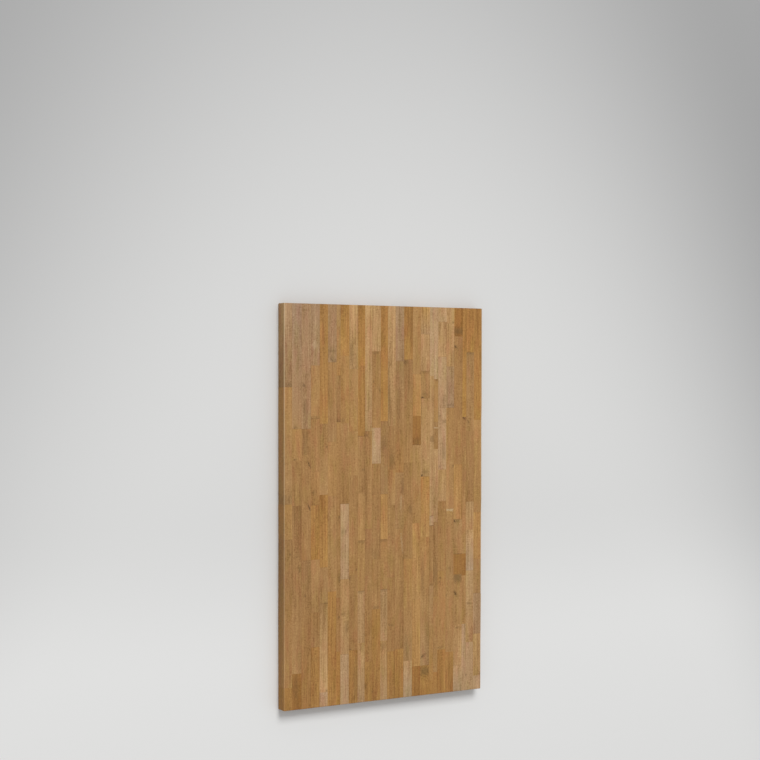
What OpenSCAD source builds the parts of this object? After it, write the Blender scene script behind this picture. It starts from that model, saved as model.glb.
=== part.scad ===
// Butcher block countertop panel, solid hardwood, lying flat with its show
// face up. Short staves are glued end to end into long rows, and the rows are
// glued edge to edge into one slab.
// Origin: centre of the underside. X runs across the rows, Y along them
// towards the head end, Z up. All sizes in millimetres.

/* [Panel] */
// Length along the rows
panel_l = 1219; // [600:1:2400]
// Width across the rows
panel_w = 711; // [400:1:1200]
// Thickness
panel_t = 38; // [18:1:60]

/* [Joints and edges] */
// Glue line between two staves that meet end to end
glue_line = 0.2; // [0.1:0.1:1]
// Radius of the eased outer edges
edge_ease = 2; // [0.5:0.5:6]

/* [Hidden] */
$fn = 64;

// Wood tones, by the row's main colour
honey = [0.64, 0.48, 0.31];
golden = [0.63, 0.45, 0.27];
brown = [0.57, 0.42, 0.27];
pale = [0.69, 0.54, 0.38];

// Nominal panel that the stave layout below is set out for
layout_l = 1219;
layout_w = 711;

// Widths of the rows from left to right, on the nominal panel
row_widths = [
    27, 32, 32, 30, 28, 30, 14, 30, 31, 25, 25, 31, 25,
    28, 31, 32, 30, 33, 15, 16, 31, 29, 32, 15, 29, 30
];

// End joints of each row, as distances from the head end of the nominal panel
row_joints = [
    [250, 600, 705, 1150],
    [375, 470, 605, 1110],
    [210, 375, 770],
    [185, 345, 505, 605, 770, 930, 1035],
    [360, 575, 795, 905, 1175],
    [175, 415, 580, 870, 1110],
    [215, 355, 640, 890, 1055],
    [155, 360, 605, 835, 1065],
    [195, 385, 520, 825, 1055],
    [185, 400, 575, 720, 875, 1035],
    [385, 685, 830, 1095],
    [140, 375, 485, 580, 780, 935],
    [355, 580, 720, 875, 1035],
    [370, 505, 615, 840, 1070],
    [170, 515, 690, 1065],
    [165, 485, 785, 1105],
    [210, 340, 430, 675, 915, 1125],
    [85, 200, 285, 530, 720, 1125],
    [215, 420, 655, 685, 875, 1175],
    [225, 360, 445, 675, 910, 1150],
    [45, 155, 510, 610, 830, 1080],
    [50, 185, 315, 635, 860, 1090],
    [90, 495, 670, 780, 845, 1005, 1135],
    [345, 550, 780, 850, 1005],
    [140, 390, 615, 705, 835, 1065],
    [355, 650, 800, 910, 1040, 1175]
];

// Amount by which cutting shapes run past the finished panel
overrun = 5;

// Left side of row i; i may be one past the last row for the right side
function row_left(i) =
    i == 0 ? -panel_w / 2
           : row_left(i - 1) + row_widths[i - 1] * panel_w / layout_w;

// Position along Y of a joint at distance d from the head end
function joint_y(d) = panel_l / 2 - d * panel_l / layout_l;

// Rectangle centred on the origin with true round corners
module eased_rectangle(w, h) {
    square([w - 2 * edge_ease, h], center = true);
    square([w, h - 2 * edge_ease], center = true);
    for (sx = [-1, 1], sy = [-1, 1])
        translate([sx * (w / 2 - edge_ease), sy * (h / 2 - edge_ease)])
            circle(r = edge_ease);
}

// Finished outline of the slab, with every outer edge eased
module eased_slab() {
    translate([0, 0, panel_t / 2])
        intersection() {
            rotate([90, 0, 0])
                linear_extrude(height = panel_l + 2 * overrun, center = true)
                    eased_rectangle(panel_w, panel_t);
            rotate([90, 0, 90])
                linear_extrude(height = panel_w + 2 * overrun, center = true)
                    eased_rectangle(panel_l, panel_t);
            linear_extrude(height = panel_t + 2 * overrun, center = true)
                eased_rectangle(panel_w, panel_l);
        }
}

// Staves of row i before the slab is trimmed, split by the glue lines
module rough_staves(i) {
    joints = row_joints[i];
    last = len(joints);
    x0 = row_left(i) - (i == 0 ? overrun : 0);
    x1 = row_left(i + 1) + (i == len(row_widths) - 1 ? overrun : 0);
    for (k = [0:last]) {
        y1 = k == 0 ? panel_l / 2 + overrun
                    : joint_y(joints[k - 1]) - glue_line / 2;
        y0 = k == last ? -panel_l / 2 - overrun
                       : joint_y(joints[k]) + glue_line / 2;
        translate([x0, y0, -overrun])
            cube([x1 - x0, y1 - y0, panel_t + 2 * overrun]);
    }
}

// One finished row
module glued_row(i) {
    intersection() {
        rough_staves(i);
        eased_slab();
    }
}

module row_01() { color(honey) glued_row(0); }
module row_02() { color(honey) glued_row(1); }
module row_03() { color(brown) glued_row(2); }
module row_04() { color(honey) glued_row(3); }
module row_05() { color(golden) glued_row(4); }
module row_06() { color(honey) glued_row(5); }
module row_07() { color(brown) glued_row(6); }
module row_08() { color(pale) glued_row(7); }
module row_09() { color(honey) glued_row(8); }
module row_10() { color(golden) glued_row(9); }
module row_11() { color(brown) glued_row(10); }
module row_12() { color(honey) glued_row(11); }
module row_13() { color(golden) glued_row(12); }
module row_14() { color(honey) glued_row(13); }
module row_15() { color(brown) glued_row(14); }
module row_16() { color(golden) glued_row(15); }
module row_17() { color(honey) glued_row(16); }
module row_18() { color(honey) glued_row(17); }
module row_19() { color(pale) glued_row(18); }
module row_20() { color(honey) glued_row(19); }
module row_21() { color(pale) glued_row(20); }
module row_22() { color(honey) glued_row(21); }
module row_23() { color(golden) glued_row(22); }
module row_24() { color(honey) glued_row(23); }
module row_25() { color(pale) glued_row(24); }
module row_26() { color(honey) glued_row(25); }

row_01();
row_02();
row_03();
row_04();
row_05();
row_06();
row_07();
row_08();
row_09();
row_10();
row_11();
row_12();
row_13();
row_14();
row_15();
row_16();
row_17();
row_18();
row_19();
row_20();
row_21();
row_22();
row_23();
row_24();
row_25();
row_26();
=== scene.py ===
"""Butcher block countertop panel: the look of every glued stave.

The panel lies flat with its show face up. X runs across the rows of staves,
Y runs along them towards the head end, and Z is up. Lengths are in metres
unless a name ends in _mm.
"""

import logging
import math
import random
from collections.abc import Callable, Iterator
from dataclasses import dataclass
from enum import Enum
from functools import partial

import bmesh
import bpy
from mathutils import Matrix, Vector


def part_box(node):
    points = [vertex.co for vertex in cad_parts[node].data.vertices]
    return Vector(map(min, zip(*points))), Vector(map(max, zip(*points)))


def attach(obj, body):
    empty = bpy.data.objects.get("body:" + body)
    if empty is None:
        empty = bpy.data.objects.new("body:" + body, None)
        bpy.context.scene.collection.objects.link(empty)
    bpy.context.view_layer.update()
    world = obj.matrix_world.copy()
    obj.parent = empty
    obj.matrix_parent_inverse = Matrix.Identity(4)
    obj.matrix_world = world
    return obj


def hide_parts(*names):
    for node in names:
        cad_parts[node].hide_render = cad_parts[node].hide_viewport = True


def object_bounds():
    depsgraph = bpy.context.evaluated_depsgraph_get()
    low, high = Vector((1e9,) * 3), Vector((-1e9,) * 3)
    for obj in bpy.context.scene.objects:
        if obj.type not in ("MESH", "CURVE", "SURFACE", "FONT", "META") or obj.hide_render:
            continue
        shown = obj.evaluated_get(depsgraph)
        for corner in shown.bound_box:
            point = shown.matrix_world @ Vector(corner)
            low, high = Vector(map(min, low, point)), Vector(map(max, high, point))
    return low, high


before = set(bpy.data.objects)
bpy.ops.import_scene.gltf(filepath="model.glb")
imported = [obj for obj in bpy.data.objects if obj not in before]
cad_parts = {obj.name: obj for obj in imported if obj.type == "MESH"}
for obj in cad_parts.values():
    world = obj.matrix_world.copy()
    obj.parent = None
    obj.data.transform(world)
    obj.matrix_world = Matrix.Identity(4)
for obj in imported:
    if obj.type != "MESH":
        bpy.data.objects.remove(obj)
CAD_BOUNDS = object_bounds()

LOG = logging.getLogger("countertop")
MM = 0.001
ON_PLANE = 1e-6  # metres within which a corner lies on one of the panel's planes
AT_SIDE = 1e-5  # metres within which a row's edge is at the panel's side
SHADE_STEP = 0.07  # how much one step of shade alters the wood's shade
SEEDS_PER_ROW = 2000  # seeds kept for a row, more than its length in mm
ADRIFT_MM = 1000.0  # a distance that reads as "nowhere near" in the finishes
EASE = {"interpolation_type": "SMOOTHSTEP"}  # for a range that starts and ends softly
Put = Callable[..., bpy.types.Node]


def linear(hex_code: str) -> tuple[float, float, float, float]:
    """Turn an sRGB hex colour to linear.

    Args:
        hex_code: Colour as "#RRGGBB".

    Returns:
        Linear red, green, blue and an alpha of 1.
    """
    parts = [int(hex_code[i : i + 2], 16) / 255 for i in (1, 3, 5)]
    flat = [p / 12.92 if p <= 0.04045 else ((p + 0.055) / 1.055) ** 2.4 for p in parts]
    return flat[0], flat[1], flat[2], 1.0


def add_node(
    tree: bpy.types.NodeTree,
    kind: str,
    *feeds: object,
    named: dict[str, object] | None = None,
    **settings: object,
) -> bpy.types.Node:
    """Add one shader node with its settings and links.

    Args:
        tree: Node tree that the node joins.
        kind: Node type without its "ShaderNode" prefix.
        *feeds: What goes into its inputs, in order: a value, a socket, or a
            node, whose first output is taken.
        named: The same for inputs picked by name.
        **settings: Properties of the node itself.

    Returns:
        The new node.
    """
    node = tree.nodes.new("ShaderNode" + kind)
    for name, value in settings.items():
        setattr(node, name, value)
    used = [socket for socket in node.inputs if socket.enabled]
    by_name = {socket.name: socket for socket in reversed(used)}
    pairs = list(zip(used, feeds))
    pairs += [(by_name[name], value) for name, value in (named or {}).items()]
    for socket, value in pairs:
        if isinstance(value, bpy.types.Node):
            value = next(out for out in value.outputs if out.enabled)
        if isinstance(value, bpy.types.NodeSocket):
            tree.links.new(value, socket)
        else:
            socket.default_value = value
    return node


class Stored(Enum):
    """Number triples kept on the mesh for the finishes.

    PLACE is where a point grew in its log. KNOT is the point's distance from the
    knot across and along the stave, and the knot's radius. KNOT_LOOK is how far
    the knot smears, and how dark its heart and its halo are. JOINT is the
    distance to the stave's head end and foot end, and SIDE the distance to its
    left and right side. LINES is how dark the glue is at the head, foot and
    sides. RIM is the distance to the panel's nearer side, to its show face and to
    its underside. SHADE is the stave's step there, how much of a knot hole is
    filled, and the stave's warmth there.
    """

    PLACE = "place_mm"
    KNOT = "knot_mm"
    KNOT_LOOK = "knot_look"
    JOINT = "joint_mm"
    SIDE = "side_mm"
    LINES = "glue_lines"
    RIM = "rim_mm"
    SHADE = "shade"


Read = dict[Stored, bpy.types.NodeSocket]


@dataclass(frozen=True)
class KnotNodes:
    """Nodes that draw a knot.

    Attributes:
        bulge: How far the rings are pushed out round it, in mm.
        near: 1 beside the knot and 0 away from it.
        halo: Share of smoky halo.
        heart: Share of dark heart.
        filler: Share of pale filler.
    """

    bulge: bpy.types.Node
    near: bpy.types.Node
    halo: bpy.types.Node
    heart: bpy.types.Node
    filler: bpy.types.Node


@dataclass(frozen=True)
class GrainNodes:
    """Nodes that draw the grain.

    Attributes:
        shade: Overall shade, from dark at 0 to pale at 1.
        fibre: Fine fibre noise.
        fleck: Short flecked figure.
        pore: 1 in an open pore.
    """

    shade: bpy.types.Node
    fibre: bpy.types.Node
    fleck: bpy.types.Node
    pore: bpy.types.Node


# Paler early growth and darker late growth, as shares of the main colour.
EARLY_WOOD = (1.28, 1.37, 1.45, 1.0)
LATE_WOOD = (0.68, 0.64, 0.55, 1.0)


@dataclass(frozen=True)
class OiledWood:
    """Finish of one kind of stave: sanded hardwood, as acacia, under a satin oil.

    The oil soaks in rather than lying on top, so the eye gets warm, slightly
    deepened wood with a soft sheen, streaks that run along the stave, fine dark
    pores, and duller, darker end grain.

    Attributes:
        label: Name of the wood tone.
        body: Main colour, as sRGB hex. Growth is paler or darker than it by
            the shares in EARLY_WOOD and LATE_WOOD.
        ring_mm: Width of one growth ring.
        streaks: How strongly the heartwood streaks show, 0 to 1.
        roughness: Roughness of the rubbed oil.
    """

    label: str
    body: str
    ring_mm: float
    streaks: float
    roughness: float

    def material(self) -> bpy.types.Material:
        """Build this finish's material, or hand back the one already made.

        Returns:
            The node-based material.
        """
        name = f"oiled_sanded_acacia_{self.label}"
        if name in bpy.data.materials:
            return bpy.data.materials[name]
        made = bpy.data.materials.new(name)
        made.use_nodes = True
        made.diffuse_color = linear(self.body)
        made.node_tree.nodes.clear()
        put: Put = partial(add_node, made.node_tree)
        read = {
            what: put("Attribute", attribute_name=what.value).outputs["Vector"]
            for what in Stored
        }
        knot = self.knot(put, read)
        grain = self.grain(put, read, knot)
        glue = self.glue(put, read)
        worn_and_highlight = self.arris_wear_and_highlight(put, read, grain)
        facing = put("SeparateXYZ", put("TexCoord").outputs["Normal"])
        turned = []
        for axis in ("X", "Y"):
            size = put("Math", facing.outputs[axis], operation="ABSOLUTE")
            turned.append(put("MapRange", size, 0.5, 0.9, 0.0, 1.0, **EASE))
        side_grain_shade, end_grain = turned
        rough = put("Math", grain.fibre, 0.22, self.roughness - 0.11, operation="MULTIPLY_ADD")
        height = put("Math", grain.fibre, 0.6, operation="MULTIPLY")
        for source, dulls, lifts in (
            (grain.pore, 0.18, -1.0),
            (end_grain, 0.12, 0.0),
            (knot.heart, -0.1, -0.6),
            (worn_and_highlight, 0.08, 0.0),
            (glue, 0.0, -0.8),
        ):
            if dulls:
                rough = put("Math", source, dulls, rough, operation="MULTIPLY_ADD")
            if lifts:
                height = put("Math", source, lifts, height, operation="MULTIPLY_ADD")
        # Sanding leaves relief of a few hundredths of a millimetre.
        relief = put("Bump", named={"Height": height, "Strength": 0.5, "Distance": 0.00006})
        shader = put(
            "BsdfPrincipled",
            named={
                "Base Color": self.colour(
                    put, read, knot, grain, (glue, worn_and_highlight, side_grain_shade, end_grain)
                ),
                "Roughness": rough,
                "Normal": relief,
                # Open pores break up the shine, so it stays below a varnish's.
                "IOR": 1.47,
                "Specular IOR Level": 0.2,
            },
        )
        put("OutputMaterial", shader)
        return made

    def knot(self, put: Put, read: Read) -> KnotNodes:
        """Draw the stave's knot: a branch that runs through it.

        Args:
            put: Adds a node to the finish.
            read: What the mesh stores.

        Returns:
            The knot's nodes.
        """
        place = put("SeparateXYZ", read[Stored.KNOT]).outputs
        look = put("SeparateXYZ", read[Stored.KNOT_LOOK]).outputs
        filled = put("SeparateXYZ", read[Stored.SHADE]).outputs["Y"]
        # A branch that is sawn on the slant smears across the stave.
        past = put("Math", place["X"], 0.0, operation="MAXIMUM")
        past = put("Math", past, look["X"], operation="MINIMUM")
        beside = put("Math", place["X"], past, operation="SUBTRACT")
        # It is never quite round: its edge wanders by more than half its radius,
        # in ripples 3.5 by 5 mm.
        size = (1 / 3.5, 1 / 5, 1 / 3.5)
        spot = put("VectorMath", read[Stored.PLACE], size, operation="MULTIPLY")
        ripple = put("TexNoise", spot, named={"Scale": 1.0, "Detail": 2.0})
        reaches = []
        for across in (place["X"], beside):
            flat = put("CombineXYZ", across, place["Y"])
            length = put("VectorMath", flat, operation="LENGTH")
            reach = put("Math", length, place["Z"], operation="DIVIDE")
            wander = put("Math", ripple, 3.6, -1.8, operation="MULTIPLY_ADD")
            reaches += [reach, put("Math", reach, wander, operation="ADD")]
        _, heart_edge, reach, halo_edge = reaches
        return KnotNodes(
            bulge=put("MapRange", reach, 0.0, 4.5, 9.0, 0.0, **EASE),
            near=put("MapRange", reach, 1.0, 5.0, look["Z"], 0.0, **EASE),
            halo=put("MapRange", halo_edge, 0.3, 2.8, look["Z"], 0.0, **EASE),
            heart=put("MapRange", heart_edge, 0.2, 1.3, look["Y"], 0.0, **EASE),
            filler=put("MapRange", halo_edge, 0.6, 1.3, filled, 0.0, **EASE),
        )

    def grain(self, put: Put, read: Read, knot: KnotNodes) -> GrainNodes:
        """Draw rings, streaks, fibres and pores through the whole stave.

        Args:
            put: Adds a node to the finish.
            read: What the mesh stores.
            knot: The stave's knot.

        Returns:
            The grain's nodes.
        """
        place = read[Stored.PLACE]
        noises = {}
        for name, across, along, detail in (
            ("drift", 30.0, 400.0, 2.0),  # rings wander over this reach
            ("dip", 14.0, 60.0, 3.0),  # soft lights and darks in dipping fibres
            ("patch", 18.0, 70.0, 0.0),  # where the figure below shows
            ("ripple", 12.0, 3.6, 1.0),  # fiddleback waves across the grain
            ("fleck", 2.2, 6.0, 2.0),  # short figure that breaks up the bands
            ("pore", 0.33, 7.0, 1.0),  # pores 0.3 mm wide and 7 mm long
        ):
            size = (1 / across, 1 / along, 1 / across)
            spot = put("VectorMath", place, size, operation="MULTIPLY")
            noises[name] = put("TexNoise", spot, named={"Scale": 1.0, "Detail": detail})
        shift = put(
            "VectorMath",
            noises["drift"].outputs["Color"],
            (11.0, 0.0, 11.0),
            (-5.5, 0.0, -5.5),
            operation="MULTIPLY_ADD",
        )
        bent = put("VectorMath", place, shift, operation="ADD")
        for name, across, along, detail in (
            ("band", 4.2, 260.0, 1.0),  # straight bands
            ("fibre", 1.0, 45.0, 4.0),  # single fibre bundles
        ):
            size = (1 / across, 1 / along, 1 / across)
            spot = put("VectorMath", bent, size, operation="MULTIPLY")
            noises[name] = put("TexNoise", spot, named={"Scale": 1.0, "Detail": detail})
        flat = put("VectorMath", bent, (1.0, 0.0, 1.0), operation="MULTIPLY")
        from_pith = put("VectorMath", flat, operation="LENGTH")
        from_pith = put("Math", from_pith, knot.bulge, operation="ADD")
        # Heartwood streaks, about 5 mm wide, follow the rings.
        streak = put(
            "TexNoise",
            put("Math", from_pith, 5.0, operation="DIVIDE"),
            named={"Scale": 1.0, "Detail": 2.0},
            noise_dimensions="1D",
        )
        # One ring darkens slowly outwards and ends in a sharper late edge, and
        # the rings stand out more where they pass a knot.
        turn = put("Math", from_pith, self.ring_mm, operation="DIVIDE")
        turn = put("Math", turn, operation="FRACT")
        ring = put("Math", turn, 3.0, operation="POWER")
        depth = put("Math", knot.near, -0.5, -0.12, operation="MULTIPLY_ADD")
        ring = put("Math", ring, depth, operation="MULTIPLY")
        patch = put("MapRange", noises["patch"], 0.4, 0.62, 0.15, 1.0)
        wave = put("Math", noises["ripple"], 0.65, -0.325, operation="MULTIPLY_ADD")
        ring = put("Math", wave, patch, ring, operation="MULTIPLY_ADD")
        weights = (
            (streak, 0.7 * self.streaks),
            (noises["band"], 2.0 * self.streaks),
            (noises["fibre"], 0.9),
            (noises["dip"], 0.45),
            (noises["fleck"], 1.0),
        )
        level = 0.52 - sum(weight for _, weight in weights) / 2
        shade = put("Math", ring, level, operation="ADD")
        for source, weight in weights:
            shade = put("Math", source, weight, shade, operation="MULTIPLY_ADD")
        step = put("SeparateXYZ", read[Stored.SHADE])
        return GrainNodes(
            shade=put("Math", step, SHADE_STEP, shade, operation="MULTIPLY_ADD"),
            fibre=noises["fibre"],
            fleck=noises["fleck"],
            pore=put("MapRange", noises["pore"], 0.6, 0.72, 0.0, 1.0, **EASE),
        )

    def glue(self, put: Put, read: Read) -> bpy.types.Node:
        """Draw the dark hairlines of glue at end joints and between rows.

        Args:
            put: Adds a node to the finish.
            read: What the mesh stores.

        Returns:
            Share of glue.
        """
        ends = put("SeparateXYZ", read[Stored.JOINT]).outputs
        sides = put("SeparateXYZ", read[Stored.SIDE]).outputs
        lines = put("SeparateXYZ", read[Stored.LINES]).outputs
        side = put("Math", sides["X"], sides["Y"], operation="MINIMUM")
        # Where the squeezed-out glue was sanded clean, in stretches 9 by 35 mm,
        # the line all but goes.
        size = (1 / 9, 1 / 35, 1 / 9)
        spot = put("VectorMath", read[Stored.PLACE], size, operation="MULTIPLY")
        left = put("TexNoise", spot, named={"Scale": 1.0, "Detail": 1.0})
        left = put("MapRange", left, 0.35, 0.65, 0.25, 1.0)
        share = None
        # An end joint is dark for half a millimetre on each side and faded out
        # at 1.6 mm. The real line is thinner, and would be lost at this distance.
        for distance, width, dark in (
            (ends["X"], 1.6, lines["X"]),
            (ends["Y"], 1.6, lines["Y"]),
            (side, 0.7, lines["Z"]),
        ):
            seam = put("MapRange", distance, width * 0.3, width, dark, 0.0, **EASE)
            share = put("Math", share, seam, operation="MAXIMUM") if share else seam
        return put("Math", share, left, operation="MULTIPLY")

    def arris_wear_and_highlight(self, put: Put, read: Read, grain: GrainNodes) -> bpy.types.Node:
        """Draw the paler line on the long arrises: rubbed-off oil and a painted highlight.

        Args:
            put: Adds a node to the finish.
            read: What the mesh stores.
            grain: The stave's grain.

        Returns:
            Share of the pale arris line, rubbed-off oil and painted highlight.
        """
        rim = put("SeparateXYZ", read[Stored.RIM]).outputs
        flat = put("Math", rim["Y"], rim["Z"], operation="MINIMUM")
        away = put("Math", rim["X"], flat, operation="MAXIMUM")
        ragged = put("Math", grain.fleck, 2.0, -1.0, operation="MULTIPLY_ADD")
        edge = put("Math", away, ragged, operation="ADD")
        return put("MapRange", edge, 1.8, 4.0, 1.0, 0.0, **EASE)

    def colour(
        self,
        put: Put,
        read: Read,
        knot: KnotNodes,
        grain: GrainNodes,
        shares: tuple[bpy.types.Node, ...],
    ) -> bpy.types.Node:
        """Lay the wood's colours over each other.

        Args:
            put: Adds a node to the finish.
            read: What the mesh stores.
            knot: The stave's knot.
            grain: The stave's grain.
            shares: Shares of glue, of the pale arris line (rubbed-off oil and painted
                highlight), of the long sides (side grain with painted shade) and of end grain.

        Returns:
            The finished colour.
        """
        dark = put("MapRange", grain.shade, 0.08, 0.52, 0.0, 1.0, **EASE)
        pale = put("MapRange", grain.shade, 0.52, 0.96, 0.0, 1.0, **EASE)
        # Minerals in the sap leave faint olive and rosy stretches, 20 by 80 mm.
        size = (1 / 20, 1 / 80, 1 / 20)
        spot = put("VectorMath", read[Stored.PLACE], size, operation="MULTIPLY")
        sap = put("TexNoise", spot, named={"Scale": 1.0, "Detail": 2.0})
        sap = put("SeparateColor", sap.outputs["Color"]).outputs
        olive = put("MapRange", sap["Green"], 0.45, 0.75, 0.0, 1.0, **EASE)
        rosy = put("MapRange", sap["Blue"], 0.45, 0.75, 0.0, 1.0, **EASE)
        pore = put("Math", grain.pore, 0.35, operation="MULTIPLY")
        halo = put("Math", knot.halo, 0.7, operation="MULTIPLY")
        glue, worn_and_highlight, side_grain_shade, end_grain = shares
        drunk = put("Math", end_grain, 0.4, operation="MULTIPLY")
        # The pale arris line, rubbed-off oil and painted highlight, is strongest towards the
        # head end.
        along = put("SeparateXYZ", put("TexCoord").outputs["Object"]).outputs["Y"]
        wear_and_highlight_strength = put("MapRange", along, -0.6, 0.4, 0.08, 0.36)
        rubbed = put("Math", worn_and_highlight, wear_and_highlight_strength, operation="MULTIPLY")
        body = linear(self.body)
        late, early = (
            tuple(level * share for level, share in zip(body, growth))
            for growth in (LATE_WOOD, EARLY_WOOD)
        )
        colour = put("Mix", dark, late, body, data_type="RGBA")
        colour = put("Mix", pale, colour, early, data_type="RGBA")
        # One step of warmth takes about a fifteenth off the blue.
        warmth = put("SeparateXYZ", read[Stored.SHADE]).outputs["Z"]
        tint = put(
            "VectorMath",
            warmth,
            (0.0195, -0.005, -0.065),
            (1.0, 1.0, 1.0),
            operation="MULTIPLY_ADD",
        )
        colour = put("VectorMath", colour, tint, operation="MULTIPLY")
        for share, over, how in (
            (olive, "#F8FDEF", "MULTIPLY"),
            (rosy, "#FFF3F8", "MULTIPLY"),
            (pore, "#5C3D22", "MIX"),  # pores hold oil and dust
            (halo, "#665030", "MIX"),
            (knot.heart, "#452D17", "MIX"),
            (knot.filler, "#D6C29E", "MIX"),
            (glue, "#4F3119", "MIX"),
            (side_grain_shade, "#F4EDD5", "MULTIPLY"),  # sawn sides soak up a bit more oil, and this tint also paints shade on them
            (drunk, "#8A5A30", "MULTIPLY"),  # end grain drinks the most
            # Pale arris line: rubbed-off oil, and a painted highlight on the eased edge.
            (rubbed, "#C9B595", "MIX"),
        ):
            colour = put(
                "Mix", share, colour, linear(over), data_type="RGBA", blend_type=how
            )
        return colour


class Tone(Enum):
    """The wood tones that the staves come in, from dark to pale."""

    UMBER = OiledWood("umber", "#9A6D39", 2.6, 0.46, 0.48)
    BROWN = OiledWood("brown", "#9E7648", 3.0, 0.38, 0.5)
    GOLD = OiledWood("gold", "#A47842", 3.4, 0.42, 0.5)
    NUT = OiledWood("nut", "#A0784A", 3.0, 0.31, 0.5)
    HONEY = OiledWood("honey", "#A67E4E", 3.6, 0.24, 0.52)
    ASH = OiledWood("ash", "#A07E5A", 3.2, 0.4, 0.52)
    AMBER = OiledWood("amber", "#AE834E", 4.0, 0.46, 0.52)
    TAN = OiledWood("tan", "#AD875A", 3.4, 0.5, 0.54)
    PALE = OiledWood("pale", "#B08E68", 3.8, 0.42, 0.55)


class JointLine(Enum):
    """How dark the glue line of an end joint looks, from 0 to 1."""

    FAINT = 0.08
    SOFT = 0.3
    CLEAR = 0.4
    DARK = 0.6


class Turn(Enum):
    """How a stave changes towards its foot: steps paler, steps more golden."""

    EVEN = (0, 0)
    PALER = (4, 0)
    MUCH_PALER = (9, 0)
    DARKER = (-4, 0)
    GOLDEN = (0, 4)
    GREYER = (0, -4)


@dataclass(frozen=True)
class Stave:
    """One stave of a row.

    Attributes:
        foot_mm: Distance from the panel's head end to the stave's foot end.
        tone: Wood tone of the stave.
        turn: How it changes along its length.
    """

    foot_mm: float
    tone: Tone
    turn: Turn = Turn.EVEN


@dataclass(frozen=True)
class StaveVariety:
    """How far staves of one tone differ, as spreads in steps of shade or warmth.

    Attributes:
        shade: Spread of a whole stave's shade.
        along: Spread of what it gains in shade towards its foot.
        beside: Spread of what it gains in shade towards its right side.
        warmth: Spread of a whole stave's warmth.
        warming: Spread of what it gains in warmth towards its foot.
    """

    shade: float = 0.3
    along: float = 1.0
    beside: float = 2.0
    warmth: float = 0.4
    warming: float = 0.8


class KnotKind(Enum):
    """What a knot does: darkness of its heart and halo, and share of filler."""

    PIN = (0.75, 0.5, 0.0)
    SOUND = (0.3, 0.35, 0.0)
    CLOUD = (0.0, 0.75, 0.0)
    SMOKY = (0.0, 0.4, 0.0)
    SWIRL = (0.0, 0.15, 0.0)
    FILLED = (0.0, 0.0, 0.35)
    BRIGHT = (0.0, 0.0, 0.14)


@dataclass(frozen=True)
class Knot:
    """A knot or a swirl of grain.

    Attributes:
        head_mm: Distance from the panel's head end.
        across_mm: Distance from the row's left side.
        radius_mm: Radius of the heart.
        smear_mm: How far it smears to the right.
        kind: What it does to the wood.
        slant: How far it leans to the right for each mm towards the foot.
        tall: How many times longer it is along the stave than across.
    """

    head_mm: float
    across_mm: float
    radius_mm: float
    smear_mm: float
    kind: KnotKind
    slant: float = 0.0
    tall: float = 1.0


# Short names for the tones, in the order of Tone.
U, B, G, N, H, A, M, T, P = Tone

# Staves of every row from the left, head end first, as the fields of a Stave.
# The last stave of a row runs to the foot of the panel.
CUT_LIST: tuple[tuple[tuple, ...], ...] = (
    ((250, A, Turn.DARKER), (600, H), (705, H), (1150, N, Turn.PALER), (1219, G)),
    ((375, A, Turn.GOLDEN), (470, H), (605, B), (1110, N, Turn.PALER), (1219, U)),
    ((210, A), (375, A), (770, N), (1219, B, Turn.GOLDEN)),
    (
        (185, A), (345, H), (505, N), (605, N, Turn.DARKER),
        (770, G), (930, H, Turn.DARKER), (1035, B), (1219, G),
    ),
    (
        (360, G, Turn.PALER), (575, H, Turn.PALER), (795, G, Turn.PALER),
        (905, N), (1175, T, Turn.MUCH_PALER), (1219, P),
    ),
    ((175, A), (415, N), (580, H), (870, H), (1110, G), (1219, G, Turn.PALER)),
    ((215, H, Turn.GOLDEN), (355, B), (640, N), (890, B), (1055, B), (1219, G)),
    ((155, G, Turn.PALER), (360, H), (605, N, Turn.DARKER), (835, P), (1065, T), (1219, P)),
    ((195, T, Turn.DARKER), (385, H), (520, H), (825, N), (1055, B), (1219, G)),
    (
        (185, G, Turn.PALER), (400, G), (575, N), (720, H), (875, H),
        (1035, T), (1219, T, Turn.GREYER),
    ),
    ((385, T, Turn.DARKER), (685, N, Turn.PALER), (830, B), (1095, N, Turn.GOLDEN), (1219, G)),
    (
        (140, T), (375, N), (485, P), (580, N), (780, B), (935, N),
        (1219, G),
    ),
    ((355, G, Turn.PALER), (580, N), (720, M), (875, H), (1035, T), (1219, T, Turn.GREYER)),
    ((370, T, Turn.DARKER), (505, B), (615, H), (840, N), (1070, B), (1219, G)),
    ((170, A), (515, N, Turn.GOLDEN), (690, N), (1065, N, Turn.DARKER), (1219, G)),
    (
        (165, G, Turn.PALER), (485, B, Turn.PALER), (785, N),
        (1105, H, Turn.GREYER), (1219, P, Turn.GREYER),
    ),
    (
        (210, H), (340, M), (430, U), (675, H), (915, M),
        (1125, M), (1219, U),
    ),
    (
        (85, T, Turn.GREYER), (200, T), (285, H), (530, T), (720, M),
        (1125, H, Turn.GREYER), (1219, G),
    ),
    (
        (215, P), (420, T, Turn.DARKER), (655, T), (685, P), (875, B),
        (1175, H, Turn.GOLDEN), (1219, G),
    ),
    (
        (225, P), (360, H), (445, B), (675, T), (910, B, Turn.PALER),
        (1150, H), (1219, G),
    ),
    ((45, P), (155, T), (510, P), (610, T), (830, N), (1080, H), (1219, G)),
    ((50, T), (185, T), (315, A), (635, H), (860, H), (1090, H), (1219, G)),
    (
        (90, U), (495, N), (670, M), (780, H), (845, U), (1005, H),
        (1135, T), (1219, P, Turn.GREYER),
    ),
    ((345, G, Turn.PALER), (550, B), (780, H, Turn.PALER), (850, U), (1005, H), (1219, P)),
    (
        (140, G, Turn.PALER), (390, H), (615, N), (705, T),
        (835, P, Turn.GREYER), (1065, T), (1219, P),
    ),
    (
        (355, G, Turn.PALER), (650, H), (800, M), (910, H), (1040, A),
        (1175, T), (1219, P),
    ),
)


# The kinds of knot, in the order of KnotKind.
PIN, SOUND, CLOUD, SMOKY, SWIRL, FILLED, BRIGHT = KnotKind

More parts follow.
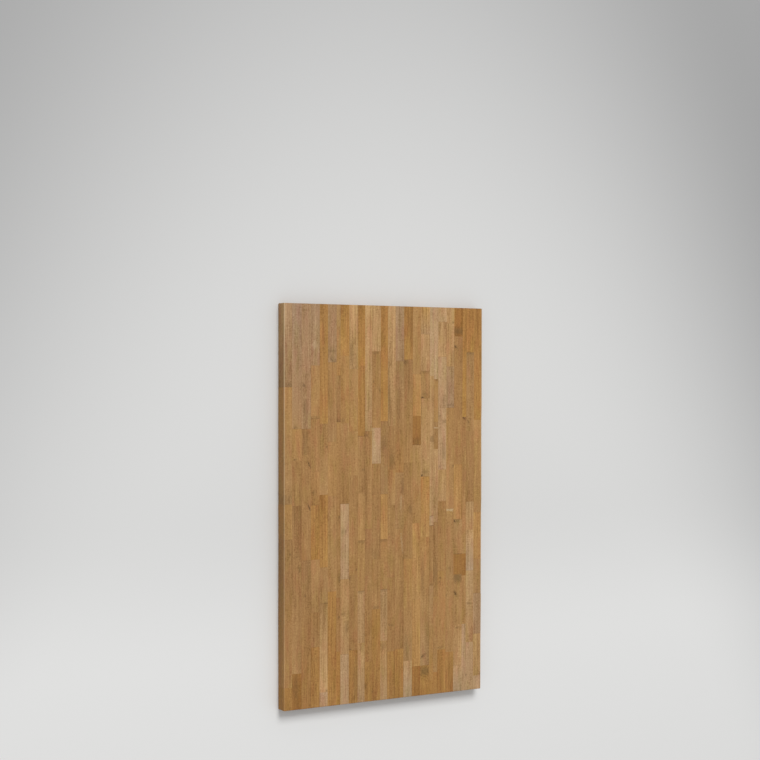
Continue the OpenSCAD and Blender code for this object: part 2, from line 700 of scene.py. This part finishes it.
# Knots and swirls of each row, head end first, as the fields of a Knot.
KNOTS: dict[int, tuple[tuple, ...]] = {
    1: ((243, 14, 2.5, 8, SOUND), (588, 12, 10, 0, SMOKY), (750, 20, 2.5, 0, SOUND)),
    2: (
        (244, 25, 5, 0, SWIRL), (371, 9, 2.5, 0, SOUND), (467, 8, 2.5, 5, SOUND),
        (758, 15, 2, 0, SOUND), (798, 25, 2.5, 0, SOUND, 0.0, 3.0),
        (1145, 8, 6, 4, SMOKY, 0.0, 4.0),
    ),
    3: (
        (244, 8, 4, 0, SOUND, 0.3, 1.5), (325, 14, 5, 0, SMOKY, 0.0, 5.0),
        (425, 12, 5, 0, SMOKY, 0.0, 5.0), (483, 26, 2, 0, PIN, 0.4, 3.5),
        (611, 25, 2.2, 0, PIN, 0.4, 3.0), (878, 12, 2, 0, SOUND),
    ),
    4: (
        (125, 12, 7, 0, BRIGHT, 0.0, 2.0), (341, 2, 2.6, 25, SOUND), (567, 10, 4, 0, SMOKY),
        (651, 12, 2, 0, SMOKY), (1074, 6, 4, 18, SWIRL),
    ),
    5: ((430, 25, 2.5, 0, SOUND), (903, 19, 2, 6, SOUND), (1171, 25, 2.5, 0, SOUND)),
    6: ((141, 6, 2.2, 18, SMOKY), (170, 15, 3.5, 8, SOUND, 0.6, 1.8)),
    7: (
        (352, 2, 2.5, 9, SOUND), (646, 10, 2, 0, SOUND, 0.0, 5.0),
        (832, 10, 2, 0, SOUND, 0.0, 5.0), (950, 9, 3, 0, SOUND),
    ),
    8: (
        (150, 6, 5, 0, SWIRL), (352, 8, 4, 0, SMOKY), (690, 10, 5, 4, SMOKY),
        (942, 6, 2.5, 8, SMOKY), (985, 20, 3.5, 0, SMOKY, 0.0, 4.0),
    ),
    9: (
        (150, 9, 4, 0, SMOKY, 0.0, 5.0), (808, 26, 2.5, 0, SOUND),
        (832, 3, 2, 0, SOUND, 0.0, 5.0), (1052, 4, 2.5, 0, SOUND),
        (1150, 25, 5, 0, SMOKY, 0.0, 9.0),
    ),
    10: (
        (393, 23, 1.8, 0, SOUND, 0.0, 3.5), (502, 16, 2, 5, SMOKY), (723, 3, 3, 16, SMOKY),
        (877, 3, 3, 16, SMOKY), (1048, 15, 4, 0, SMOKY, 0.0, 2.0),
    ),
    11: ((398, 8, 3, 0, SOUND), (1172, 4, 2, 0, SOUND, 0.0, 4.5)),
    12: (
        (145, 7, 2.2, 12, SMOKY), (233, 4, 2.2, 0, SOUND), (260, 27, 2, 0, SOUND, 0.2, 3.0),
        (768, 11, 7, 0, SWIRL), (930, 8, 3, 14, SMOKY), (1190, 2, 3, 0, SOUND),
    ),
    13: (
        (425, 8, 6, 0, SMOKY, 0.0, 2.0), (723, 3, 3, 16, SMOKY), (877, 3, 3, 16, SMOKY),
        (1050, 12, 4, 0, SMOKY, 0.0, 2.0),
    ),
    14: (
        (270, 3, 4, 0, SMOKY, 0.0, 12.0), (475, 14, 5, 0, SMOKY, 0.0, 3.0),
        (988, 6, 2.2, 12, SOUND, 1.0, 1.0),
    ),
    15: (
        (300, 12, 3, 0, SMOKY, 0.0, 12.0), (560, 26, 3.5, 0, SMOKY, 0.0, 4.0),
        (610, 21, 3, 0, BRIGHT, 0.0, 8.0), (735, 24, 3, 0, BRIGHT, 0.1, 10.0),
    ),
    16: (
        (60, 27, 5, 0, SMOKY, 0.0, 8.0), (173, 3, 3.4, 4, SOUND),
        (632, 25, 4, 0, SMOKY, 0.0, 2.0), (1065, 12, 5, 0, SMOKY, 0.1, 5.0),
    ),
    17: ((420, 12, 6, 8, SMOKY),),
    18: (
        (203, 9, 2.2, 20, SOUND), (272, 7, 2.6, 12, SMOKY), (283, 4, 4, 3, PIN),
        (516, 8, 2.6, 14, SMOKY), (526, 4, 4, 3, PIN), (840, 8, 3, 0, SMOKY, 0.0, 12.0),
        (1094, 9, 2.6, 4, PIN, -0.8, 1.7), (1143, 14, 8, 8, CLOUD),
    ),
    19: ((412, 7, 4, 3, SMOKY), (871, 5, 3, 4, SOUND)),
    20: (
        (180, 4, 9, 6, SWIRL), (228, 11, 2.5, 0, SOUND), (378, 2, 1.5, 12, FILLED),
        (835, 8, 7, 0, SMOKY, 0.0, 3.0),
    ),
    21: (
        (70, 3, 2, 0, SOUND, 0.0, 7.0), (137, 12, 5, 12, SWIRL),
        (295, 20, 4, 0, SMOKY, 0.0, 3.0), (340, 5, 3, 0, SMOKY), (358, 20, 3, 10, SMOKY),
        (455, 21, 4, 0, SMOKY, 0.0, 5.0), (500, 7, 2.5, 0, SOUND), (852, 10, 2, 0, PIN),
        (864, 8, 2.4, 0, SOUND), (1073, 4, 2.4, 14, SOUND, -1.0, 1.0),
    ),
    22: (
        (46, 25, 2.5, 3, SOUND), (160, 26, 4, 0, SMOKY, 0.0, 5.0), (307, 5, 2, 20, SMOKY),
        (328, 5, 3, 0, SMOKY, 0.0, 2.5), (500, 26, 3, 0, SOUND), (639, 4, 3.4, 21, FILLED),
        (824, 12, 3, 0, SOUND), (909, 1, 3, 0, SOUND),
    ),
    23: (
        (74, 6, 7, 18, CLOUD), (123, 4, 2.6, 3, PIN, 0.8, 1.7), (675, 4, 3.4, 14, PIN),
        (856, 10, 8, 12, CLOUD), (905, 7, 2.8, 2, PIN, 0.4, 2.0), (1015, 11, 2.2, 16, SOUND),
    ),
    24: ((348, 5, 3.2, 9, PIN, 0.6, 1.5),),
    25: (
        (143, 4, 3, 20, SMOKY), (362, 8, 2.8, 0, SOUND, 0.0, 2.2), (708, 8, 5, 4, SWIRL),
        (940, 9, 2.4, 12, SOUND), (1170, 2, 3, 0, SOUND),
    ),
    26: ((1171, 27, 2.4, 0, SOUND, 0.0, 1.5),),
}

# End joints that show as a dark line, each as its row and mm from the head.
JOINT_LINES: dict[JointLine, tuple[tuple[int, float], ...]] = {
    JointLine.SOFT: (
        (1, 250), (2, 375), (3, 375), (8, 1065), (11, 385), (16, 165), (18, 200), (25, 140),
    ),
    JointLine.CLEAR: (
        (4, 605), (5, 905), (10, 720), (10, 875), (13, 720), (13, 875), (18, 285),
        (18, 530), (22, 315), (23, 670), (26, 910),
    ),
    JointLine.DARK: (
        (4, 345), (7, 355), (8, 605), (10, 400), (17, 430), (19, 420), (19, 655),
        (19, 685), (23, 780),
    ),
}


@dataclass(frozen=True)
class RowPlace:
    """Where one row lies and what it is made of.

    Attributes:
        number: Number of the row from the left, from 1.
        left: X of its left side.
        right: X of its right side.
        staves: Its staves, head end first.
    """

    number: int
    left: float
    right: float
    staves: tuple[Stave, ...]

    @property
    def node(self) -> str:
        """Name of the CAD node."""
        return f"row_{self.number:02d}"


@dataclass
class BakeSheet:
    """How the faces of one glue-up are spread over a square sheet.

    The length is cut in equal runs that lie side by side. The show face gets
    the most room, the underside less, and faces inside the glue next to none.

    Attributes:
        left: X of the glue-up's left side.
        width: Width of the glue-up.
        length: Length of the panel.
        thickness: Thickness of the panel.
        shown_sides: Numbers of the long sides that stay in view.
        side_count: Number of long sides, two to a row.
        runs: Number of equal runs.
        size: Width of the sheet, in its own units.
        margin: Room between patches.
        end_band: Height of the band for end faces.
        hidden_side: Width given to a side inside the glue.
        shown_side: Width given to a side in view.
        end_tile: Width given to the head or foot end.
        joint_tile: Width given to a face inside an end joint.
        under_share: Width of the underside, against the show face's.
    """

    left: float
    width: float
    length: float
    thickness: float
    shown_sides: tuple[int, ...]
    side_count: int
    runs: int = 4
    size: float = 1024.0
    margin: float = 6.0
    end_band: float = 112.0
    hidden_side: float = 6.0
    shown_side: float = 52.0
    end_tile: float = 150.0
    joint_tile: float = 12.0
    under_share: float = 0.3

    def __post_init__(self) -> None:
        """Work out the patches of one run."""
        self.side_widths = [
            self.shown_side if side in self.shown_sides else self.hidden_side
            for side in range(self.side_count)
        ]
        self.run_width = (self.size - self.margin) / self.runs
        spent = sum(self.side_widths) + self.margin * (self.side_count + 2)
        self.top_width = (self.run_width - spent) / (1 + self.under_share)
        self.under_width = self.top_width * self.under_share
        self.run_length = self.length / self.runs
        self.run_height = self.size - self.end_band - 2 * self.margin
        self.joint_tiles = 0

    def run_of(self, y: float) -> int:
        """Number of the run that holds this place along the panel."""
        return min(self.runs - 1, max(0, int((y + self.length / 2) / self.run_length)))

    def in_run(
        self, run: int, start: float, across: float, y: float
    ) -> tuple[float, float]:
        """Place a point in one patch of a run.

        Args:
            run: Number of the run.
            start: Where the patch starts in its run.
            across: Distance across the patch.
            y: Place along the panel.

        Returns:
            The point on the sheet, 0 to 1 each way.
        """
        u = self.margin + run * self.run_width + start + across
        along = (y + self.length / 2) / self.run_length - run
        v = self.margin + along * self.run_height
        return u / self.size, v / self.size

    def flat(self, run: int, up: bool, at: Vector) -> tuple[float, float]:
        """Place a point of the show face or the underside.

        Args:
            run: Number of the run.
            up: True for the show face.
            at: The point.

        Returns:
            The point on the sheet.
        """
        start = 0.0 if up else self.top_width + self.margin
        width = self.top_width if up else self.under_width
        share = (at.x - self.left) / self.width
        return self.in_run(run, start, share * width, at.y)

    def long_side(self, run: int, side: int, at: Vector) -> tuple[float, float]:
        """Place a point of a stave's long side.

        Args:
            run: Number of the run.
            side: Number of the side.
            at: The point.

        Returns:
            The point on the sheet.
        """
        start = self.top_width + self.under_width + 2 * self.margin
        start += sum(self.side_widths[:side]) + self.margin * side
        share = at.z / self.thickness
        return self.in_run(run, start, share * self.side_widths[side], at.y)

    def end_face(self, head: bool, at: Vector) -> tuple[float, float]:
        """Place a point of the panel's head or foot end.

        Args:
            head: True for the head end.
            at: The point.

        Returns:
            The point on the sheet.
        """
        u = self.margin + (self.end_tile + self.margin) * head
        u += (at.x - self.left) / self.width * self.end_tile
        v = self.size - self.end_band
        v += at.z / self.thickness * (self.end_band - self.margin)
        return u / self.size, v / self.size

    def joint_face(self, tile: int, row: RowPlace, at: Vector) -> tuple[float, float]:
        """Place a point of a face inside an end joint.

        Args:
            tile: Number of the joint face on this sheet.
            row: Its row.
            at: The point.

        Returns:
            The point on the sheet.
        """
        pitch = self.joint_tile + self.margin
        first = 3 * self.margin + 2 * self.end_tile
        per_line = int((self.size - first) / pitch)
        u = first + (tile % per_line) * pitch
        v = self.size - self.end_band + (tile // per_line) * pitch
        u += (at.x - row.left) / (row.right - row.left) * self.joint_tile
        v += at.z / self.thickness * self.joint_tile
        return u / self.size, v / self.size


@dataclass
class GlueUp:
    """Neighbouring rows that were glued edge to edge as one strip.

    Attributes:
        rows: The rows, left to right.
        low: Lowest corner of the panel.
        high: Highest corner of the panel.
        gap_mm: Gap between staves that meet end to end. It is closer than the
            CAD's glue line, because glue fills the joint and nothing shows through.
        ease_mm: Radius of the panel's eased outer edges.
        ease_steps: Number of flats that round an eased edge.
        variety: How far staves of one tone differ.
    """

    rows: tuple[RowPlace, ...]
    low: Vector
    high: Vector
    gap_mm: float = 0.02
    ease_mm: float = 2.0
    ease_steps: int = 4
    variety: StaveVariety = StaveVariety()

    @property
    def name(self) -> str:
        """Name of the piece."""
        return "rows_" + "_".join(f"{row.number:02d}" for row in self.rows)

    def build(self) -> bpy.types.Object:
        """Build the strip's staves as closed solids and dress them.

        Returns:
            The finished piece.
        """
        tones = sorted(
            {stave.tone for row in self.rows for stave in row.staves},
            key=lambda tone: tone.name,
        )
        mesh = bmesh.new()
        fields = {
            what: mesh.loops.layers.float_vector.new(what.value) for what in Stored
        }
        sheet_layer = mesh.loops.layers.uv.new("OFBake")
        sheet = BakeSheet(
            left=self.rows[0].left,
            width=self.rows[-1].right - self.rows[0].left,
            length=self.high.y - self.low.y,
            thickness=self.high.z - self.low.z,
            shown_sides=self.shown_sides(),
            side_count=2 * len(self.rows),
        )
        for index, row in enumerate(self.rows):
            for stave, foot, head in self.spans(row):
                knots = self.knots_in(row, foot, head)
                faces = self.saw(mesh, row, foot, head, self.cuts(sheet, knots))
                self.record_grain(faces, fields, row, stave, foot, head, knots)
                self.lay_out(faces, sheet_layer, sheet, row, index)
                for face in faces:
                    face.material_index = tones.index(stave.tone)
        data = bpy.data.meshes.new(self.name)
        mesh.to_mesh(data)
        mesh.free()
        data.shade_smooth()
        data.set_sharp_from_angle(angle=math.radians(30))
        for tone in tones:
            data.materials.append(tone.value.material())
        piece = bpy.data.objects.new(self.name, data)
        bpy.context.scene.collection.objects.link(piece)
        return piece

    def spans(self, row: RowPlace) -> Iterator[tuple[Stave, float, float]]:
        """Walk the staves of a row.

        Args:
            row: The row.

        Yields:
            Each stave with the Y of its foot end and head end.
        """
        half = self.gap_mm * MM / 2
        head = self.high.y
        for stave in row.staves:
            last = stave is row.staves[-1]
            foot = self.low.y if last else self.high.y - stave.foot_mm * MM + half
            yield stave, foot, head
            head = foot - self.gap_mm * MM

    def shown_sides(self) -> tuple[int, ...]:
        """Long sides that lie on the outside of the panel.

        Returns:
            Their numbers, two to a row, left side first.
        """
        sides = []
        if abs(self.rows[0].left - self.low.x) < AT_SIDE:
            sides.append(0)
        if abs(self.rows[-1].right - self.high.x) < AT_SIDE:
            sides.append(2 * len(self.rows) - 1)
        return tuple(sides)

    def knots_in(self, row: RowPlace, foot: float, head: float) -> list[Knot]:
        """Find a stave's knots, foot end first.

        Args:
            row: The stave's row.
            foot: Y of its foot end.
            head: Y of its head end.

        Returns:
            The knots.
        """
        marks = (Knot(*mark) for mark in KNOTS.get(row.number, ()))
        found = (knot for knot in marks if foot < self.knot_y(knot) < head)
        return sorted(found, key=self.knot_y)

    def knot_y(self, knot: Knot) -> float:
        """Y of a knot's heart."""
        return self.high.y - knot.head_mm * MM

    def cuts(self, sheet: BakeSheet, knots: list[Knot]) -> list[float]:
        """List where a stave's long faces are divided.

        They are divided where one run of the sheet ends, and half way between
        two knots, so that each face has one knot at most.

        Args:
            sheet: The sheet.
            knots: The stave's knots, foot end first.

        Returns:
            Each division's Y.
        """
        places = [self.low.y + run * sheet.run_length for run in range(1, sheet.runs)]
        for one, other in zip(knots, knots[1:]):
            places.append((self.knot_y(one) + self.knot_y(other)) / 2)
        return places

    def saw(
        self,
        mesh: bmesh.types.BMesh,
        row: RowPlace,
        foot: float,
        head: float,
        cuts: list[float],
    ) -> list[bmesh.types.BMFace]:
        """Add one stave, cut square, with the panel's outer edges eased.

        Args:
            mesh: Mesh that takes the stave.
            row: The stave's row.
            foot: Y of its foot end.
            head: Y of its head end.
            cuts: Where the long faces are divided.

        Returns:
            The stave's faces.
        """
        before = set(mesh.faces)
        clear = 2 * self.ease_mm * MM
        inner = sorted(y for y in cuts if foot + clear < y < head - clear)
        rings = []
        for y in (foot, *inner, head):
            corners = (
                (row.left, self.low.z),
                (row.right, self.low.z),
                (row.right, self.high.z),
                (row.left, self.high.z),
            )
            rings.append([mesh.verts.new((x, y, z)) for x, z in corners])
        faces = [mesh.faces.new(rings[0]), mesh.faces.new(reversed(rings[-1]))]
        for near, far in zip(rings, rings[1:]):
            for i in range(4):
                j = (i + 1) % 4
                faces.append(mesh.faces.new((near[i], far[i], far[j], near[j])))
        edges = {edge for face in faces for edge in face.edges if self.is_outer(edge)}
        if edges:
            bmesh.ops.bevel(
                mesh,
                geom=list(edges),
                offset=self.ease_mm * MM,
                segments=self.ease_steps,
                profile=0.5,
                affect="EDGES",
                clamp_overlap=True,
            )
        return [face for face in mesh.faces if face not in before]

    def is_outer(self, edge: bmesh.types.BMEdge) -> bool:
        """Say whether an edge is one of the panel's outer edges.

        Args:
            edge: The edge.

        Returns:
            True if it lies on two outer planes of the panel.
        """
        shared = 0
        for axis in range(3):
            for plane in (self.low[axis], self.high[axis]):
                shared += all(abs(v.co[axis] - plane) < ON_PLANE for v in edge.verts)
        return shared == 2

    def record_grain(
        self,
        faces: list[bmesh.types.BMFace],
        fields: dict[Stored, object],
        row: RowPlace,
        stave: Stave,
        foot: float,
        head: float,
        knots: list[Knot],
    ) -> None:
        """Store where the stave grew, and where its edges and knots are.

        Every stave comes from its own place in its own log: how far from the
        pith, which way the pith lies, and how far it leans.

        Args:
            faces: The stave's faces.
            fields: Mesh layer of each stored triple.
            row: The stave's row.
            stave: The stave.
            foot: Y of its foot end.
            head: Y of its head end.
            knots: The stave's knots.
        """
        dice = random.Random(row.number * SEEDS_PER_ROW + int(stave.foot_mm))
        pith = dice.uniform(45, 150)
        turn = dice.uniform(0, math.tau)
        lean = (dice.gauss(0, 0.018), dice.gauss(0, 0.018))
        start = dice.uniform(0, 9000)
        side_line = dice.choice((0.1, 0.15, 0.2, 0.4))
        at_head = round((self.high.y - head) / MM)
        lines = (
            self.line_at(row, at_head),
            self.line_at(row, stave.foot_mm),
            side_line,
        )
        variety = self.variety
        shade = dice.gauss(0, variety.shade)
        paler = stave.turn.value[0] + dice.gauss(0, variety.along)
        beside = dice.gauss(0, variety.beside)
        warmth = dice.gauss(0, variety.warmth)
        golden = stave.turn.value[1] + dice.gauss(0, variety.warming)
        middle = Vector(((row.left + row.right) / 2, (foot + head) / 2, 0))
        left_wall = row.left - self.low.x < AT_SIDE
        right_wall = self.high.x - row.right < AT_SIDE
        for face in faces:
            here = face.calc_center_median().y
            knot = min(knots, key=lambda k: abs(self.knot_y(k) - here), default=None)
            for loop in face.loops:
                co = loop.vert.co
                at = (co - middle) / MM
                down = (middle.y - co.y) / (head - foot)
                right = (co.x - middle.x) / (row.right - row.left)
                step = shade + paler * down + beside * right
                warm = warmth + golden * down
                stored = {
                    Stored.PLACE: (
                        at.x + pith * math.cos(turn) + lean[0] * at.y,
                        at.y + start,
                        at.z + pith * math.sin(turn) + lean[1] * at.y,
                    ),
                    Stored.KNOT: (ADRIFT_MM, ADRIFT_MM, 1.0),
                    Stored.KNOT_LOOK: (0.0, 0.0, 0.0),
                    Stored.JOINT: ((head - co.y) / MM, (co.y - foot) / MM, 0.0),
                    Stored.SIDE: (
                        (co.x - row.left) / MM + ADRIFT_MM * left_wall,
                        (row.right - co.x) / MM + ADRIFT_MM * right_wall,
                        0.0,
                    ),
                    Stored.LINES: lines,
                    Stored.RIM: (
                        min(co.x - self.low.x, self.high.x - co.x) / MM,
                        (self.high.z - co.z) / MM,
                        (co.z - self.low.z) / MM,
                    ),
                    Stored.SHADE: (step, 0.0, warm),
                }
                if knot:
                    along = (co.y - self.knot_y(knot)) / MM
                    across = (co.x - row.left) / MM - knot.across_mm
                    across += knot.slant * along
                    heart, halo, filler = knot.kind.value
                    stored[Stored.KNOT] = (across, along / knot.tall, knot.radius_mm)
                    stored[Stored.KNOT_LOOK] = (knot.smear_mm, heart, halo)
                    stored[Stored.SHADE] = (step, filler, warm)
                for what, value in stored.items():
                    loop[fields[what]] = Vector(value)

    def line_at(self, row: RowPlace, from_head: float) -> float:
        """Darkness of the glue at an end joint.

        Args:
            row: The row.
            from_head: Joint's distance from the head end, in mm.

        Returns:
            The darkness, which is nought at the panel's own ends.
        """
        length = (self.high.y - self.low.y) / MM
        if from_head < 1 or from_head > length - 1:
            return 0.0
        for line, joints in JOINT_LINES.items():
            for number, place in joints:
                if number == row.number and abs(place - from_head) < 2:
                    return line.value
        return JointLine.FAINT.value

    def lay_out(
        self,
        faces: list[bmesh.types.BMFace],
        layer: object,
        sheet: BakeSheet,
        row: RowPlace,
        index: int,
    ) -> None:
        """Lay the stave's faces out on the sheet.

        Args:
            faces: The stave's faces.
            layer: The sheet's UV layer.
            sheet: The sheet.
            row: The stave's row.
            index: Number of the row within the strip, from 0.
        """
        tiles: dict[bool, int] = {}
        for face in faces:
            face.normal_update()
            n = face.normal
            middle = face.calc_center_median()
            run = sheet.run_of(middle.y)
            if abs(n.z) >= max(abs(n.x), abs(n.y)):
                place = partial(sheet.flat, run, n.z > 0)
            elif abs(n.x) >= abs(n.y):
                place = partial(sheet.long_side, run, 2 * index + (n.x > 0))
            elif min(self.high.y - middle.y, middle.y - self.low.y) < self.ease_mm * MM:
                place = partial(sheet.end_face, n.y > 0)
            else:
                head = n.y > 0
                if head not in tiles:
                    tiles[head] = sheet.joint_tiles
                    sheet.joint_tiles += 1
                place = partial(sheet.joint_face, tiles[head], row)
            for loop in face.loops:
                loop[layer].uv = place(loop.vert.co)


@dataclass
class Countertop:
    """The whole panel, glued up from strips of two rows.

    Attributes:
        rows_per_strip: Rows glued into one strip before the panel is closed.
    """

    rows_per_strip: int = 2

    def rows(self) -> list[RowPlace]:
        """Find every row from its CAD node.

        Returns:
            The rows, left to right.
        """
        found = []
        for number, cuts in enumerate(CUT_LIST, start=1):
            low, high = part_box(f"row_{number:02d}")
            staves = tuple(Stave(*cut) for cut in cuts)
            found.append(RowPlace(number, low[0], high[0], staves))
        return found

    def build(self) -> list[bpy.types.Object]:
        """Build every strip and put it in place of its CAD rows.

        Returns:
            The pieces.
        """
        low, high = (Vector(corner) for corner in CAD_BOUNDS)
        rows = self.rows()
        pieces = []
        for start in range(0, len(rows), self.rows_per_strip):
            group = tuple(rows[start : start + self.rows_per_strip])
            piece = GlueUp(group, low, high).build()
            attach(piece, "root")
            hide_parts(*(row.node for row in group))
            LOG.info("%s: %d faces", piece.name, len(piece.data.polygons))
            pieces.append(piece)
        return pieces


@dataclass(frozen=True)
class SeamlessPaper:
    """Finish of the floor: matt seamless paper, rolled out flat.

    It is a pale grey with no shine, and its colour carries painted light: painted shade
    darkens it towards its far ends and past the foot end, and a paler band in front of the
    foot end is painted light.

    Attributes:
        near: Colour under the object and behind it, as sRGB hex.
        front: Paler colour in front of the object's foot end, painted light, as sRGB hex.
        far: Darker colour of the far ends, painted shade, as sRGB hex.
        front_reach: Y at which the front colour starts, and is full.
        palest_at: Middle of the pale part, in metres.
        pale_reach: Distance from there at which the painted shade starts, and is darkest.
        oval: How much sooner it darkens along each axis.
        foot_reach: Y at which the painted shade starts past the foot end, and is darkest.
    """

    near: str = "#D5D5D4"
    front: str = "#E0E0DF"
    far: str = "#9D9D9D"
    front_reach: tuple[float, float] = (0.0, -0.5)
    palest_at: tuple[float, float, float] = (0.22, -8.0, 0.0)
    pale_reach: tuple[float, float] = (8.35, 10.6)
    oval: tuple[float, float, float] = (3.15, 1.0, 1.0)
    foot_reach: tuple[float, float] = (-2.5, -12.0)

    def material(self) -> bpy.types.Material:
        """Build the paper's material.

        Returns:
            The node-based material.
        """
        made = bpy.data.materials.new("matt_seamless_paper")
        made.use_nodes = True
        made.node_tree.nodes.clear()
        put: Put = partial(add_node, made.node_tree)
        place = put("TexCoord").outputs["Object"]
        along = put("SeparateXYZ", place).outputs["Y"]
        oval = put("VectorMath", place, self.oval, operation="MULTIPLY")
        away = put("VectorMath", oval, self.palest_at, operation="DISTANCE")
        front, painted_shade_past_foot, painted_shade_far = (
            put("MapRange", where, *reach, 0.0, 1.0, **EASE)
            for where, reach in (
                (along, self.front_reach),
                (along, self.foot_reach),
                (away, self.pale_reach),
            )
        )
        # Painted shade: darker far from the palest point and past the foot end.
        ends = put("Math", painted_shade_far, painted_shade_past_foot, operation="MAXIMUM")
        # Painted light: a paler band in front of the foot end.
        colour = put(
            "Mix", front, linear(self.near), linear(self.front), data_type="RGBA"
        )
        colour = put("Mix", ends, colour, linear(self.far), data_type="RGBA")
        shader = put(
            "BsdfPrincipled",
            named={"Base Color": colour, "Roughness": 0.9, "Specular IOR Level": 0.1},
        )
        put("OutputMaterial", shader)
        return made


@dataclass(frozen=True)
class SoftBox:
    """A square soft lamp.

    Attributes:
        name: Name of the lamp.
        at: Place of its middle.
        side: Length of its side.
        watts: Power.
    """

    name: str
    at: tuple[float, float, float]
    side: float
    watts: float

    def hang(self) -> None:
        """Hang the lamp, facing the middle of the floor."""
        data = bpy.data.lights.new(self.name, "AREA")
        data.shape = "SQUARE"
        data.size = self.side
        data.energy = self.watts
        lamp = bpy.data.objects.new(self.name, data)
        lamp.location = self.at
        lamp.rotation_euler = (-Vector(self.at)).to_track_quat("-Z", "Y").to_euler()
        lamp.visible_camera = False
        bpy.context.scene.collection.objects.link(lamp)


@dataclass
class Studio:
    """Floor, lamps, sky and camera round the panel.

    Attributes:
        floor_half: Half the width of the floor.
        floor_gap: Room between the floor and the underside.
        lamps: The soft lamps.
        sky_strength: Strength of the even light from all round.
        sky_colour: Colour seen beyond the floor, as sRGB hex.
        focal_mm: Focal length on a 36 mm sensor.
        camera_at: Place of the camera.
        turn_deg: Angle from straight down, towards +X.
        nod_deg: Small tilt towards the head end.
        roll_deg: Small roll.
        lens_rise: How far the lens is slid up, as a share of the
            picture's width, so that the panel sits low in the frame
            and its long edges draw together towards the foot.
    """

    floor_half: float = 30.0
    floor_gap: float = 0.0005
    lamps: tuple[SoftBox, ...] = (SoftBox("key", (-0.6, 7.4, 8.8), 5.0, 862.0),)
    sky_strength: float = 0.56
    sky_colour: str = "#7E7E7E"
    focal_mm: float = 76.42
    camera_at: tuple[float, float, float] = (-2.5721, 0.3839, 4.2958)
    turn_deg: float = 30.907
    nod_deg: float = -1.919
    roll_deg: float = 0.124
    lens_rise: float = 0.07

    def build(self) -> None:
        """Set up everything round the object."""
        self.lay_floor()
        for lamp in self.lamps:
            lamp.hang()
        self.light_sky()
        self.place_camera()

    def lay_floor(self) -> None:
        """Lay the paper floor."""
        mesh = bmesh.new()
        h = self.floor_half
        corners = ((-h, -h, 0), (h, -h, 0), (h, h, 0), (-h, h, 0))
        mesh.faces.new([mesh.verts.new(corner) for corner in corners])
        data = bpy.data.meshes.new("floor")
        mesh.to_mesh(data)
        mesh.free()
        data.materials.append(SeamlessPaper().material())
        floor = bpy.data.objects.new("floor", data)
        floor.location.z = -self.floor_gap
        bpy.context.scene.collection.objects.link(floor)

    def light_sky(self) -> None:
        """Light the scene evenly from all round."""
        world = bpy.data.worlds.new("studio")
        bpy.context.scene.world = world
        world.use_nodes = True
        world.node_tree.nodes.clear()
        put: Put = partial(add_node, world.node_tree)
        seen = put("LightPath").outputs["Is Camera Ray"]
        light = put("Background", (1.0, 1.0, 1.0, 1.0), self.sky_strength)
        backdrop = put("Background", linear(self.sky_colour), 1.0)
        both = put("MixShader", seen, light, backdrop)
        put("OutputWorld", both)

    def place_camera(self) -> None:
        """Place the camera and make it the scene's own."""
        turn, nod, roll = (
            math.radians(angle)
            for angle in (self.turn_deg, self.nod_deg, self.roll_deg)
        )
        ahead = Vector((math.sin(turn), 0, -math.cos(turn)))
        right = Vector((math.cos(turn), 0, math.sin(turn)))
        up = Vector((0, 1, 0))
        ahead, up = (
            ahead * math.cos(nod) + up * math.sin(nod),
            up * math.cos(nod) - ahead * math.sin(nod),
        )
        right, up = (
            right * math.cos(roll) + up * math.sin(roll),
            up * math.cos(roll) - right * math.sin(roll),
        )
        data = bpy.data.cameras.new("camera")
        data.sensor_width = 36.0
        data.lens = self.focal_mm
        data.shift_y = self.lens_rise
        data.clip_end = 200.0
        camera = bpy.data.objects.new("camera", data)
        turned = Matrix((right, up, -ahead)).transposed().to_4x4()
        turned.translation = Vector(self.camera_at)
        camera.matrix_world = turned
        bpy.context.scene.collection.objects.link(camera)
        bpy.context.scene.camera = camera


def main() -> None:
    """Build the countertop and the studio, and report each piece."""
    logging.basicConfig(level=logging.INFO, format="%(message)s")
    bpy.context.scene.view_settings.view_transform = "Standard"
    Studio().build()
    pieces = Countertop().build()
    LOG.info("countertop: %d strips", len(pieces))


if __name__ == "__main__":
    main()
